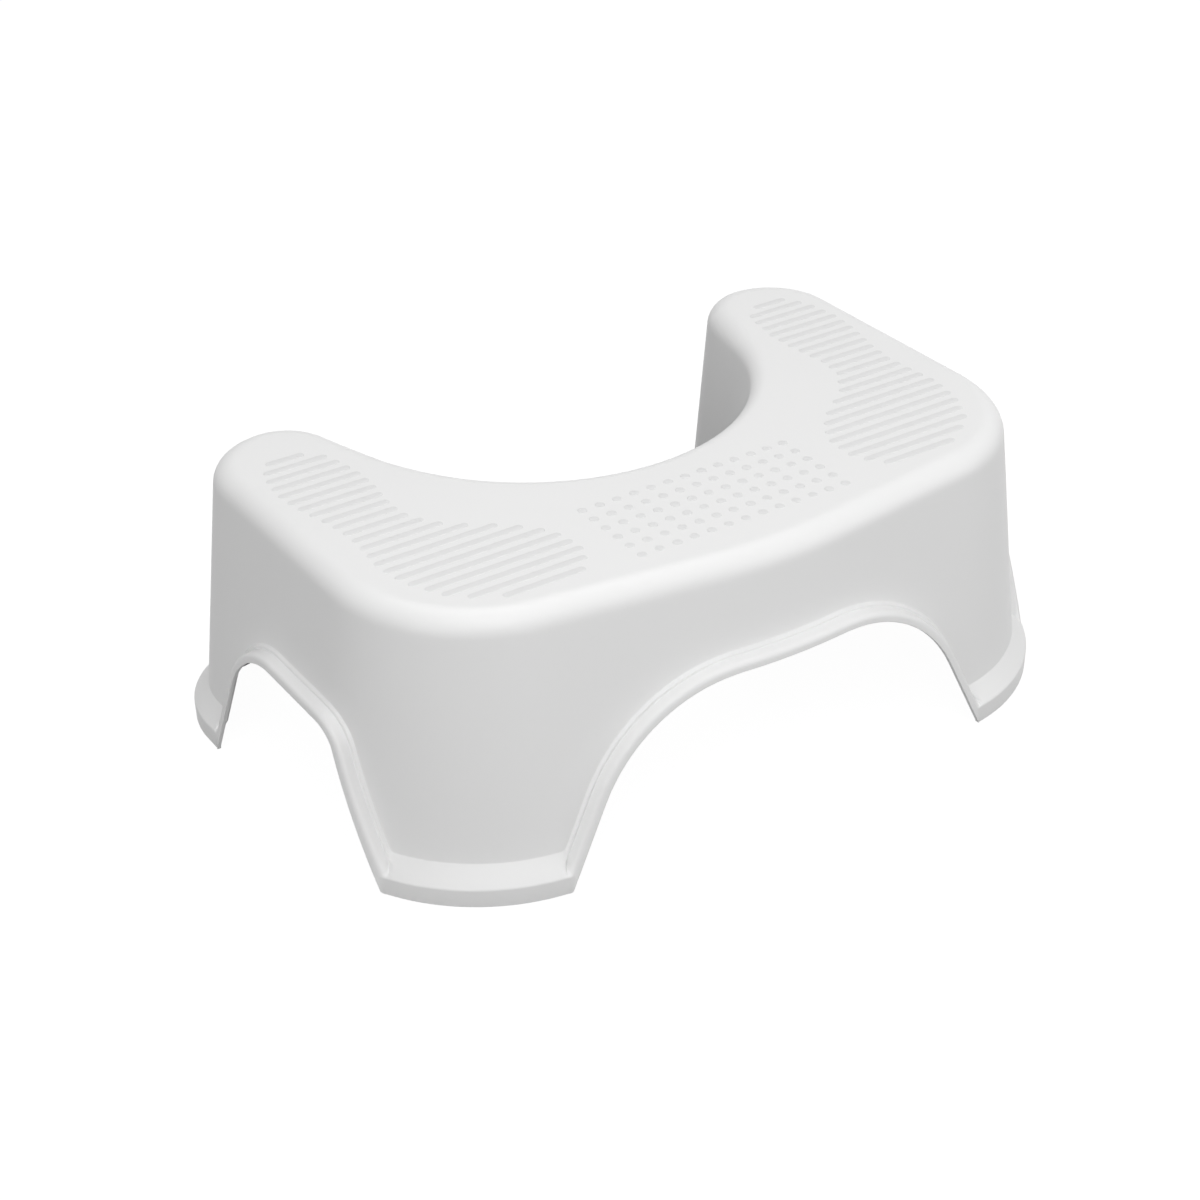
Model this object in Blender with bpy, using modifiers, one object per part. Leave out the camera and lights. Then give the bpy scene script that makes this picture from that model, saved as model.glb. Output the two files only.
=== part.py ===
"""Toilet footstool: a moulded shell with two foot treads, a dotted centre tread and four rubber foot pads.

The stool stands on Z = 0 with +Z up. Its front looks along -Y, and the recess for the toilet opens along +Y.
The wall is worked out on the deck's outline, the line where the flat deck and the leaning wall would meet if
their edge were sharp. A place on the wall is the distance along that outline and the height above the floor.
Lengths are metres, angles are radians.
"""

import math

import bmesh
import bpy
import numpy as np
from mathutils import Matrix

# The stool as a whole
DECK_HEIGHT = 0.181
WALL = 0.0028
FRONT_LEAN_SHARE = 0.115
BACK_LEAN_SHARE = 0.095
DECK_EDGE_RADIUS = 0.015

# Right half of the deck's outline: corners where its straight sides would meet, and their rounding
FRONT_CENTRE_Y = -0.1572
FRONT_BOW_RADIUS = 0.356
FRONT_CORNER_X = 0.2378
FRONT_CORNER_Y = -0.1240
FRONT_CORNER_RADIUS = 0.0944
HORN_OUTER_X = 0.2324
HORN_OUTER_Y = 0.1458
HORN_OUTER_RADIUS = 0.0475
HORN_INNER_X = 0.1581
HORN_INNER_Y = 0.1505
HORN_INNER_RADIUS = 0.0372
RECESS_CORNER_X = 0.1100
RECESS_Y = -0.0264
RECESS_RADIUS = 0.1434

# Arches: half width at the floor, height of the lip's lower edge, rounding of the shoulders, and the rise
# over the run of the legs. The side arch has its own width, shoulder and leg before and behind its middle.
FRONT_ARCH_HALF_WIDTH = 0.1538
FRONT_ARCH_HEIGHT = 0.1136
FRONT_ARCH_SHOULDER_RADIUS = 0.1044
SIDE_ARCH_Y = -0.0015
SIDE_ARCH_FRONT_WIDTH = 0.0890
SIDE_ARCH_REAR_WIDTH = 0.0859
SIDE_ARCH_HEIGHT = 0.0922
SIDE_ARCH_FRONT_RADIUS = 0.017
SIDE_ARCH_REAR_RADIUS = 0.0504
RECESS_ARCH_HALF_WIDTH = 0.1734
RECESS_ARCH_HEIGHT = 0.088
RECESS_ARCH_SHOULDER_RADIUS = 0.060
FRONT_LEG_SLOPE_SHARE = 2.122
SIDE_FRONT_LEG_SLOPE_SHARE = 2.47
SIDE_REAR_LEG_SLOPE_SHARE = 3.135
RECESS_LEG_SLOPE_SHARE = 2.1

# Rim: how far it stands out from the wall, its lip and ledge at the feet, and its bands along the arches
RIM_REACH = 0.009
FOOT_LIP_HEIGHT = 0.0127
FOOT_LEDGE_RISE = 0.0117
ARCH_LIP_WIDTH = 0.0042
ARCH_BAND_WIDTH = 0.0066
BAND_MIDDLE_SHARE = 0.5
BAND_CROWN_SHARE = 0.74

# Foot pads
PAD_LENGTH = 0.045
PAD_WIDTH = 0.007
PAD_STANDOFF = 0.0005

# Treads: their setbacks from the deck's corners, their strips and dots, and the plates that carry these
TREAD_WIDTH = 0.1181
TREAD_SIDE_SETBACK = 0.0155
TREAD_TOE_SETBACK = 0.0121
RIGHT_HEEL_SETBACK = 0.0391
LEFT_HEEL_SETBACK = 0.0492
STRIP_PITCH = 0.01015
STRIP_WIDTH = 0.0047
DOT_PITCH = 0.0125
DOT_DIAMETER = 0.006
DOT_BACK_SETBACK = 0.0288
DOT_FRONT_SETBACK = 0.0395
DOT_SIDE_SETBACK = 0.02375
TREAD_HEIGHT = 0.0008
CARRIER_THICKNESS = 0.0014
CARRIER_INSET = 0.0008

# A footprint from toe to heel: share of its length, then its inner and outer edge as shares of its width
FOOTPRINT_SHARES = (
    (0.00, 0.10, 0.57),
    (0.05, 0.03, 0.72),
    (0.09, 0.00, 0.80),
    (0.18, 0.01, 0.885),
    (0.25, 0.07, 0.92),
    (0.32, 0.195, 0.935),
    (0.41, 0.42, 0.915),
    (0.50, 0.535, 0.905),
    (0.59, 0.56, 0.925),
    (0.73, 0.525, 0.985),
    (0.82, 0.525, 1.00),
    (0.91, 0.555, 0.975),
    (0.955, 0.58, 0.945),
    (1.00, 0.67, 0.89),
)

# Ribs that stiffen the deck from below
RIB_THICKNESS = 0.0022
RIB_DEPTH = 0.016

# Gap between pieces that touch, how far one solid runs into or past another when they are joined or cut, and
# how close two vertices lie that are one
CLEARANCE = 0.0003
OVERRUN = 0.004
MERGE_DISTANCE = 0.00005

# How finely the curved surfaces are divided
ARCH_TOP_STEPS = 4
SHOULDER_STEPS = 7
LEG_STEPS = 3
FOOT_STEPS = 14
PAD_STEPS = 8
EDGE_STEPS = 4
DOT_SIDES = 8
STRIP_SIDES = 8
SAMPLES_PER_STEP = 40
TURN_WEIGHT_SHARE = 0.25


def clear_scene():
    for old in list(bpy.data.objects):
        bpy.data.objects.remove(old, do_unlink=True)


def new_collection(name):
    group = bpy.data.collections.new(name)
    bpy.context.scene.collection.children.link(group)
    return group


def plastic(name, colour, roughness):
    material = bpy.data.materials.new(name)
    material.use_nodes = True
    shader = material.node_tree.nodes["Principled BSDF"]
    shader.inputs["Base Color"].default_value = (*colour, 1.0)
    shader.inputs["Roughness"].default_value = roughness
    shader.inputs["Metallic"].default_value = 0.0
    return material


def add_object(name, mesh, group):
    piece = bpy.data.objects.new(name, mesh)
    group.objects.link(piece)
    return piece


def as_cutter(tool):
    tool.hide_render = True
    tool.display_type = "WIRE"


def boolean(piece, operation, tool):
    step = piece.modifiers.new(operation.lower(), "BOOLEAN")
    step.operation = operation
    step.solver = "EXACT"
    step.object = tool


class Outline:
    """The right half of the deck's outline, from the front centre round to the middle of the recess.

    Its heading is constant on the straight sides and turns evenly on the rounded corners, so a place on it is
    the start of its stretch plus a chord of that stretch.
    """

    def __init__(self, corners, radii):
        corners = np.array(corners)
        sides = np.diff(corners, axis=0)
        lengths = np.hypot(sides[:, 0], sides[:, 1])
        lengths[-1] /= 2
        headings = np.unwrap(np.arctan2(sides[:, 1], sides[:, 0]))
        turns = np.diff(headings, prepend=-headings[0])
        tangents = np.array(radii) * np.tan(np.abs(turns) / 2)
        needs = tangents + np.append(tangents[1:], 0.0)
        room = np.minimum(1.0, lengths / needs)
        limits = np.minimum(room, np.append(1.0, room[:-1]))
        radii = np.array(radii) * limits
        tangents = tangents * limits
        arcs = radii * np.abs(turns)
        arcs[0] /= 2
        straights = lengths - tangents - np.append(tangents[1:], 0.0)
        spans = np.stack([arcs, straights], axis=1).ravel()
        self.bends = np.stack([np.sign(turns) / radii, np.zeros(len(turns))], axis=1).ravel()
        self.starts = np.append(0.0, np.cumsum(spans))
        self.length = self.starts[-1]
        self.headings = np.append(0.0, np.cumsum(spans * self.bends))
        chords = spans * np.sinc(spans * self.bends / (2 * math.pi))
        middles = self.headings[:-1] + spans * self.bends / 2
        front_y = corners[0, 1] + radii[0] * (1 / math.cos(headings[0]) - 1)
        self.x = np.append(0.0, np.cumsum(chords * np.cos(middles)))
        self.y = front_y + np.append(0.0, np.cumsum(chords * np.sin(middles)))

    def at(self, along):
        """Place and outward normal at distances along the outline."""
        stretch = np.clip(np.searchsorted(self.starts, along, side="right") - 1, 0, len(self.bends) - 1)
        run = along - self.starts[stretch]
        half_turn = self.bends[stretch] * run / 2
        chord = run * np.sinc(half_turn / math.pi)
        middle = self.headings[stretch] + half_turn
        heading = self.headings[stretch] + 2 * half_turn
        along_x = self.x[stretch] + chord * np.cos(middle)
        along_y = self.y[stretch] + chord * np.sin(middle)
        normal = np.stack([np.sin(heading), -np.cos(heading)])
        return np.stack([along_x, along_y]), normal

    def heading(self, along):
        return np.interp(along, self.starts, self.headings)

    def at_y(self, y):
        """Distance along the outline where its outer side passes a given Y."""
        tip = int(np.argmax(self.y))
        return float(np.interp(y, self.y[: tip + 1], self.starts[: tip + 1]))


OUTLINE = Outline(
    (
        (0.0, FRONT_CENTRE_Y),
        (FRONT_CORNER_X, FRONT_CORNER_Y),
        (HORN_OUTER_X, HORN_OUTER_Y),
        (HORN_INNER_X, HORN_INNER_Y),
        (RECESS_CORNER_X, RECESS_Y),
        (-RECESS_CORNER_X, RECESS_Y),
    ),
    (FRONT_BOW_RADIUS, FRONT_CORNER_RADIUS, HORN_OUTER_RADIUS, HORN_INNER_RADIUS, RECESS_RADIUS),
)


def lean_of(normal):
    """Run of the wall for each unit of drop: most at the front, least at the back."""
    middle = (FRONT_LEAN_SHARE + BACK_LEAN_SHARE) / 2
    return middle + (BACK_LEAN_SHARE - FRONT_LEAN_SHARE) / 2 * normal[1]


def on_wall(along, height, proud):
    """Points at a height on the wall, standing proud of it: the outline plus its normal times an offset."""
    place, normal = OUTLINE.at(along)
    offset = (DECK_HEIGHT - height) * lean_of(normal) + proud
    return np.stack([*(place + normal * offset), np.broadcast_to(height, np.shape(along))], axis=-1)


class Arch:
    """An arch in the unrolled wall: two sloping legs and a flat top, joined by rounded shoulders."""

    def __init__(self, half_width, height, slope, shoulder_radius):
        self.half_width = half_width
        self.height = height
        self.slope = slope
        self.angle = math.atan(slope)
        reach = (half_width - height / slope) / math.tan(self.angle / 2)
        self.radius = min(shoulder_radius, reach)

    def mitre(self, foot_height, width):
        """Distance from the arch's middle to where its band, offset by a width, meets a foot's band."""
        return self.half_width - foot_height / self.slope + width / math.sin(self.angle)

    def half(self, foot_height, width):
        """Distances from the middle and heights, from the middle of the top down to the mitre."""
        top = self.height + width
        corner = self.mitre(top, width)
        radius = self.radius + width
        centre_x = corner - radius * math.tan(self.angle / 2)
        centre_z = top - radius
        over = np.linspace(0.0, centre_x, ARCH_TOP_STEPS + 1)[:-1]
        turn = np.linspace(math.pi / 2, math.pi / 2 - self.angle, SHOULDER_STEPS + 1)
        shoulder_x = centre_x + radius * np.cos(turn)
        shoulder_z = centre_z + radius * np.sin(turn)
        down = np.linspace(0.0, 1.0, LEG_STEPS + 1)[1:]
        leg_x = shoulder_x[-1] + down * (self.mitre(foot_height, width) - shoulder_x[-1])
        leg_z = shoulder_z[-1] + down * (foot_height - shoulder_z[-1])
        across = np.concatenate([over, shoulder_x, leg_x])
        height = np.concatenate([np.full(ARCH_TOP_STEPS, top), shoulder_z, leg_z])
        return across, height


FRONT_ARCH = Arch(
    FRONT_ARCH_HALF_WIDTH, FRONT_ARCH_HEIGHT, FRONT_LEG_SLOPE_SHARE, FRONT_ARCH_SHOULDER_RADIUS
)
SIDE_ARCH_FRONT = Arch(
    SIDE_ARCH_FRONT_WIDTH, SIDE_ARCH_HEIGHT, SIDE_FRONT_LEG_SLOPE_SHARE, SIDE_ARCH_FRONT_RADIUS
)
SIDE_ARCH_REAR = Arch(
    SIDE_ARCH_REAR_WIDTH, SIDE_ARCH_HEIGHT, SIDE_REAR_LEG_SLOPE_SHARE, SIDE_ARCH_REAR_RADIUS
)
RECESS_ARCH = Arch(
    RECESS_ARCH_HALF_WIDTH, RECESS_ARCH_HEIGHT, RECESS_LEG_SLOPE_SHARE, RECESS_ARCH_SHOULDER_RADIUS
)
SIDE_ARCH_MIDDLE = OUTLINE.at_y(SIDE_ARCH_Y)


def spread(start, end, steps):
    """Distances from start to end, closer together where the outline turns."""
    fine = np.linspace(start, end, SAMPLES_PER_STEP * steps)
    turned = np.abs(np.diff(OUTLINE.heading(fine), prepend=OUTLINE.heading(start)))
    weight = np.linspace(0.0, 1.0, len(fine)) + TURN_WEIGHT_SHARE * np.cumsum(turned)
    return np.interp(np.linspace(0.0, weight[-1], steps + 1), weight, fine)


def rim_row(foot_height, width, foot_proud, arch_proud):
    """One line of the rim from the front centre to the recess: arch, foot, arch, foot, arch."""
    front_x, front_z = FRONT_ARCH.half(foot_height, width)
    side_x, side_z = SIDE_ARCH_FRONT.half(foot_height, width)
    rear_x, rear_z = SIDE_ARCH_REAR.half(foot_height, width)
    recess_x, recess_z = RECESS_ARCH.half(foot_height, width)
    front_foot = spread(front_x[-1], SIDE_ARCH_MIDDLE - side_x[-1], FOOT_STEPS)[1:-1]
    horn_foot = spread(SIDE_ARCH_MIDDLE + rear_x[-1], OUTLINE.length - recess_x[-1], 2 * FOOT_STEPS)[1:-1]
    stretches = (
        (front_x, front_z, arch_proud),
        (front_foot, np.full(len(front_foot), foot_height), foot_proud),
        (SIDE_ARCH_MIDDLE - side_x[::-1], side_z[::-1], arch_proud),
        (SIDE_ARCH_MIDDLE + rear_x[1:], rear_z[1:], arch_proud),
        (horn_foot, np.full(len(horn_foot), foot_height), foot_proud),
        (OUTLINE.length - recess_x[::-1], recess_z[::-1], arch_proud),
    )
    along = np.concatenate([stretch[0] for stretch in stretches])
    height = np.concatenate([stretch[1] for stretch in stretches])
    proud = np.concatenate([np.full(len(stretch[0]), stretch[2]) for stretch in stretches])
    return along, height, proud


def edge_rows(along, depth):
    """The rounded edge of the deck, at a depth inside the surface: an arc from the wall's slope to level."""
    place, normal = OUTLINE.at(along)
    tilt = np.arctan(lean_of(normal))
    inset = DECK_EDGE_RADIUS * (1 - np.sin(tilt)) / np.cos(tilt)
    rows = []
    for share in np.linspace(0.0, 1.0, EDGE_STEPS + 1):
        angle = tilt + share * (math.pi / 2 - tilt)
        out = (DECK_EDGE_RADIUS - depth) * np.cos(angle) - inset
        height = DECK_HEIGHT - DECK_EDGE_RADIUS + (DECK_EDGE_RADIUS - depth) * np.sin(angle)
        rows.append(np.stack([*(place + normal * out), height], axis=-1))
    return rows


def shell_rows():
    """Rows of points up the shell's outer surface, from the lip's lower edge to the flat deck's edge."""
    lip_bottom = PAD_STANDOFF + WALL * FRONT_LEAN_SHARE
    ledge_middle = FOOT_LIP_HEIGHT + BAND_MIDDLE_SHARE * FOOT_LEDGE_RISE
    band_middle = ARCH_LIP_WIDTH + BAND_MIDDLE_SHARE * ARCH_BAND_WIDTH
    flat_proud = (1 - BAND_MIDDLE_SHARE) * RIM_REACH
    crown_proud = BAND_CROWN_SHARE * RIM_REACH
    wall_start = rim_row(FOOT_LIP_HEIGHT + FOOT_LEDGE_RISE, ARCH_LIP_WIDTH + ARCH_BAND_WIDTH, 0.0, 0.0)
    rows = [
        on_wall(*rim_row(lip_bottom, 0.0, RIM_REACH, RIM_REACH)),
        on_wall(*rim_row(FOOT_LIP_HEIGHT, ARCH_LIP_WIDTH, RIM_REACH, RIM_REACH)),
        on_wall(*rim_row(ledge_middle, band_middle, flat_proud, crown_proud)),
        on_wall(*wall_start),
    ]
    return np.array(rows + edge_rows(wall_start[0], 0.0))


def half_surface(name, rows, close_bottom):
    """Mesh of the right half of a lofted surface, open at the middle plane, with its top row filled in."""
    rows[:, (0, -1), 0] = 0.0
    count, columns = rows.shape[:2]
    index = np.arange(count * columns).reshape(count, columns)
    quads = np.stack([index[:-1, :-1], index[:-1, 1:], index[1:, 1:], index[1:, :-1]], axis=-1)
    faces = quads.reshape(-1, 4).tolist()
    faces.append(index[-1].tolist())
    if close_bottom:
        faces.append(index[0, ::-1].tolist())
    mesh = bpy.data.meshes.new(name)
    mesh.from_pydata(rows.reshape(-1, 3).tolist(), [], faces)
    return mesh


def mirror_halves(piece):
    mirror = piece.modifiers.new("other_half", "MIRROR")
    mirror.use_axis = (True, False, False)
    mirror.merge_threshold = MERGE_DISTANCE


def add_box(shape, low, high):
    """A box between two corners, added to a bmesh."""
    low = np.array(low)
    high = np.array(high)
    place = Matrix.Translation((low + high) / 2) @ Matrix.Diagonal((*(high - low), 1.0))
    bmesh.ops.create_cube(shape, size=1.0, matrix=place)


def add_capsule(shape, x_low, x_high, y, radius, z_low, z_high, sides):
    """An upright prism with a round-ended section: a cylinder whose two halves are drawn apart along X."""
    turn = Matrix.Rotation(math.pi / sides, 4, "Z")
    rise = Matrix.Translation((0.0, y, (z_low + z_high) / 2))
    made = bmesh.ops.create_cone(
        shape,
        cap_ends=True,
        segments=sides,
        radius1=radius,
        radius2=radius,
        depth=z_high - z_low,
        matrix=rise @ turn,
    )
    for vertex in made["verts"]:
        vertex.co.x += x_high - radius if vertex.co.x > 0 else x_low + radius


def mesh_of(name, shape):
    mesh = bpy.data.meshes.new(name)
    shape.to_mesh(mesh)
    shape.free()
    return mesh


def even_places(start, end, pitch):
    """Places from start to end, spaced as close to a pitch as fills the stretch evenly."""
    return np.linspace(start, end, max(2, round((end - start) / pitch) + 1))


def strips(side, heel_setback):
    """The strips of one footprint, toe to heel: each is its Y and its two ends in X."""
    toe = FRONT_CORNER_Y + TREAD_TOE_SETBACK
    heel = HORN_INNER_Y - heel_setback
    outer = HORN_OUTER_X - TREAD_SIDE_SETBACK
    stations, inner_shares, outer_shares = np.array(FOOTPRINT_SHARES).T
    listed = []
    for y in even_places(toe, heel, STRIP_PITCH):
        share = (y - toe) / (heel - toe)
        near = outer - TREAD_WIDTH * (1 - np.interp(share, stations, inner_shares))
        far = outer - TREAD_WIDTH * (1 - np.interp(share, stations, outer_shares))
        listed.append((y, *sorted((side * near, side * far))))
    return listed


def dot_places():
    """Columns in X and rows in Y of the dots between the footprints."""
    half = HORN_OUTER_X - TREAD_SIDE_SETBACK - TREAD_WIDTH - DOT_SIDE_SETBACK
    columns = even_places(-half, half, DOT_PITCH)
    rows = even_places(FRONT_CENTRE_Y + DOT_FRONT_SETBACK, RECESS_Y - DOT_BACK_SETBACK, DOT_PITCH)
    return columns, rows


RIGHT_STRIPS = strips(1, RIGHT_HEEL_SETBACK)
LEFT_STRIPS = strips(-1, LEFT_HEEL_SETBACK)
DOT_COLUMNS, DOT_ROWS = dot_places()
CARRIER_TOP = DECK_HEIGHT - WALL - CLEARANCE
CARRIER_BOTTOM = CARRIER_TOP - CARRIER_THICKNESS


def strip_shapes(shape, listed, growth, z_low, z_high):
    radius = STRIP_WIDTH / 2 + growth
    for y, low, high in listed:
        add_capsule(shape, low - growth, high + growth, y, radius, z_low, z_high, STRIP_SIDES)


def dot_shapes(shape, growth, z_low, z_high):
    radius = DOT_DIAMETER / 2 + growth
    for x in DOT_COLUMNS:
        for y in DOT_ROWS:
            add_capsule(shape, x - radius, x + radius, y, radius, z_low, z_high, DOT_SIDES)


def deck_cutter(tools):
    """Every slot and hole of the deck: the strips and dots grown by the clearance."""
    shape = bmesh.new()
    low = DECK_HEIGHT - WALL - OVERRUN
    high = DECK_HEIGHT + OVERRUN
    strip_shapes(shape, LEFT_STRIPS + RIGHT_STRIPS, CLEARANCE, low, high)
    dot_shapes(shape, CLEARANCE, low, high)
    tool = add_object("deck_slots", mesh_of("deck_slots", shape), tools)
    as_cutter(tool)
    return tool


def deck_ribs(tools):
    """Ribs round the dotted tread, trimmed to the middle of the shell's wall, where they join it."""
    mid_wall = WALL / 2
    low = DECK_HEIGHT - WALL - RIB_DEPTH
    high = DECK_HEIGHT + OVERRUN
    inset = DECK_EDGE_RADIUS
    dot_edge = DOT_COLUMNS[-1] + DOT_DIAMETER / 2
    tread_edge = HORN_OUTER_X - TREAD_SIDE_SETBACK - TREAD_WIDTH
    side_x = (dot_edge + tread_edge) / 2
    back_y = (DOT_ROWS[-1] + DOT_DIAMETER / 2 + RECESS_Y - inset) / 2
    front_y = (DOT_ROWS[0] - DOT_DIAMETER / 2 + OUTLINE.y[0] + inset) / 2
    half = RIB_THICKNESS / 2
    shape = bmesh.new()
    for x in (-side_x, side_x):
        add_box(shape, (x - half, FRONT_CENTRE_Y, low), (x + half, HORN_INNER_Y, high))
    ribs = add_object("deck_ribs", mesh_of("deck_ribs", shape), tools)
    for name, y in (("back_cross_rib", back_y), ("front_cross_rib", front_y)):
        shape = bmesh.new()
        add_box(shape, (-side_x, y - half, low), (side_x, y + half, high))
        rib = add_object(name, mesh_of(name, shape), tools)
        as_cutter(rib)
        boolean(ribs, "UNION", rib)
    along = rim_row(FOOT_LIP_HEIGHT, ARCH_LIP_WIDTH, 0.0, 0.0)[0]
    foot = on_wall(along, np.full(len(along), low - OVERRUN), -mid_wall)
    core_mesh = half_surface("wall_core", np.array([foot] + edge_rows(along, mid_wall)), True)
    core = add_object("wall_core", core_mesh, tools)
    mirror_halves(core)
    as_cutter(core)
    boolean(ribs, "INTERSECT", core)
    as_cutter(ribs)
    return ribs


def stool_shell(group, tools):
    piece = add_object("stool_shell", half_surface("stool_shell", shell_rows(), False), group)
    mirror_halves(piece)
    solid = piece.modifiers.new("wall", "SOLIDIFY")
    solid.thickness = WALL
    solid.offset = -1.0
    solid.use_even_offset = True
    boolean(piece, "UNION", deck_ribs(tools))
    boolean(piece, "DIFFERENCE", deck_cutter(tools))
    piece.data.materials.append(plastic("moulded_white_plastic", (0.86, 0.86, 0.86), 0.42))
    return piece


def flat_plate(name, points, z_low, z_high, group):
    """A plate with a flat outline: a filled 2D curve, extruded by half its thickness each way."""
    curve = bpy.data.curves.new(name + "_outline", "CURVE")
    curve.dimensions = "2D"
    curve.fill_mode = "BOTH"
    curve.extrude = (z_high - z_low) / 2
    spline = curve.splines.new("POLY")
    spline.points.add(len(points) - 1)
    spline.points.foreach_set("co", np.array([(x, y, 0.0, 1.0) for x, y in points]).ravel())
    spline.use_cyclic_u = True
    drawn = add_object(name + "_outline", curve, group)
    bpy.context.view_layer.update()
    mesh = bpy.data.meshes.new_from_object(drawn.evaluated_get(bpy.context.evaluated_depsgraph_get()))
    bpy.data.objects.remove(drawn)
    shape = bmesh.new()
    shape.from_mesh(mesh)
    bmesh.ops.remove_doubles(shape, verts=shape.verts, dist=MERGE_DISTANCE)
    bmesh.ops.recalc_face_normals(shape, faces=shape.faces)
    bmesh.ops.translate(shape, verts=shape.verts, vec=(0.0, 0.0, (z_low + z_high) / 2))
    shape.to_mesh(mesh)
    shape.free()
    return add_object(name, mesh, group)


def raised_pattern(name, shape, tools):
    tool = add_object(name, mesh_of(name, shape), tools)
    as_cutter(tool)
    return tool


def foot_tread(name, listed, group, tools):
    """A footprint of strips that stand up through the deck from one carrier plate below it."""
    half = STRIP_WIDTH / 2 - CARRIER_INSET
    right_edge = [(high - CARRIER_INSET, y) for y, _, high in listed]
    left_edge = [(low + CARRIER_INSET, y) for y, low, _ in listed]
    toe = [(x, y - half) for x, y in (left_edge[0], right_edge[0])]
    heel = [(x, y + half) for x, y in (right_edge[-1], left_edge[-1])]
    outline = toe + right_edge[1:-1] + heel + left_edge[-2:0:-1]
    piece = flat_plate(name, outline, CARRIER_BOTTOM, CARRIER_TOP, group)
    shape = bmesh.new()
    strip_shapes(shape, listed, 0.0, CARRIER_BOTTOM + CARRIER_THICKNESS / 2, DECK_HEIGHT + TREAD_HEIGHT)
    boolean(piece, "UNION", raised_pattern(name + "_strips", shape, tools))
    piece.data.materials.append(plastic(name + "_soft_plastic", (0.76, 0.76, 0.76), 0.6))
    return piece


def dot_tread(group, tools):
    """Dots that stand up through the deck between the footprints, on one carrier plate below it."""
    edge = DOT_DIAMETER / 2 - CARRIER_INSET
    x_low, x_high = DOT_COLUMNS[0] - edge, DOT_COLUMNS[-1] + edge
    y_low, y_high = DOT_ROWS[0] - edge, DOT_ROWS[-1] + edge
    corners = [(x_low, y_low), (x_high, y_low), (x_high, y_high), (x_low, y_high)]
    piece = flat_plate("centre_dot_tread", corners, CARRIER_BOTTOM, CARRIER_TOP, group)
    shape = bmesh.new()
    dot_shapes(shape, 0.0, CARRIER_BOTTOM + CARRIER_THICKNESS / 2, DECK_HEIGHT + TREAD_HEIGHT)
    boolean(piece, "UNION", raised_pattern("centre_dots", shape, tools))
    piece.data.materials.append(plastic("centre_soft_plastic", (0.76, 0.76, 0.76), 0.6))
    return piece


def foot_pad(name, middle, side, group):
    """A rubber wedge behind a foot's lip and under its ledge, carried along the outline."""
    slope = FOOT_LEDGE_RISE / RIM_REACH
    outer = RIM_REACH - WALL - CLEARANCE
    inner = outer - PAD_WIDTH
    drop = (WALL + CLEARANCE) * math.hypot(1.0, slope)
    outer_top = FOOT_LIP_HEIGHT + slope * (RIM_REACH - outer) - drop
    inner_top = FOOT_LIP_HEIGHT + slope * (RIM_REACH - inner) - drop
    along = spread(middle - PAD_LENGTH / 2, middle + PAD_LENGTH / 2, PAD_STEPS)
    section = ((outer, 0.0), (outer, outer_top), (inner, inner_top), (inner, 0.0))
    rings = np.array([on_wall(along, np.full(len(along), z), proud) for proud, z in section])
    rings[:, :, 0] *= side
    columns = len(along)
    index = np.arange(4 * columns).reshape(4, columns)
    lower = np.roll(index, -1, axis=0)
    quads = np.stack([index[:, :-1], index[:, 1:], lower[:, 1:], lower[:, :-1]], axis=-1)
    faces = quads.reshape(-1, 4).tolist()
    mesh = bpy.data.meshes.new(name)
    mesh.from_pydata(rings.reshape(-1, 3).tolist(), [], faces)
    shape = bmesh.new()
    shape.from_mesh(mesh)
    bmesh.ops.holes_fill(shape, edges=shape.edges, sides=4)
    bmesh.ops.recalc_face_normals(shape, faces=shape.faces)
    shape.to_mesh(mesh)
    shape.free()
    piece = add_object(name, mesh, group)
    piece.data.materials.append(plastic(name + "_rubber", (0.30, 0.30, 0.31), 0.8))
    return piece


def foot_middles():
    """The middle of the front foot and of the horn foot, as distances along the outline."""
    front = (FRONT_ARCH_HALF_WIDTH + SIDE_ARCH_MIDDLE - SIDE_ARCH_FRONT_WIDTH) / 2
    horn = (SIDE_ARCH_MIDDLE + SIDE_ARCH_REAR_WIDTH + OUTLINE.length - RECESS_ARCH_HALF_WIDTH) / 2
    return front, horn


def main():
    clear_scene()
    group = new_collection("toilet_footstool")
    tools = new_collection("cutters")
    pieces = [
        stool_shell(group, tools),
        foot_tread("left_foot_tread", LEFT_STRIPS, group, tools),
        foot_tread("right_foot_tread", RIGHT_STRIPS, group, tools),
        dot_tread(group, tools),
    ]
    front, horn = foot_middles()
    for side, word in ((-1, "left"), (1, "right")):
        pieces.append(foot_pad(f"front_{word}_foot_pad", front, side, group))
        pieces.append(foot_pad(f"rear_{word}_foot_pad", horn, side, group))
    reach = shell_rows()[0, :, 1]
    stand = bpy.data.objects.new("stand", None)
    group.objects.link(stand)
    stand.location = (0.0, -(reach.min() + reach.max()) / 2, 0.0)
    for piece in pieces + list(tools.objects):
        piece.parent = stand


main()
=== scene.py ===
"""Looks of the toilet footstool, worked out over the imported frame.

The shell is one closed surface: a section that runs from the deck's edge down the wall, over the rim, round
the lip and up the inner side, carried round the deck's outline. Its flat deck is filled in between the slots
that the treads stand up through. Treads, ribs and pads are surfaces of their own, in the place of the solids
that they stand for.

Lengths are metres and angles radians. +Z is up, the front looks along -Y, and the recess opens along +Y.
"""

import math

import bmesh
import bpy
import numpy as np
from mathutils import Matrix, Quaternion, Vector
from mathutils.geometry import tessellate_polygon


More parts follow.
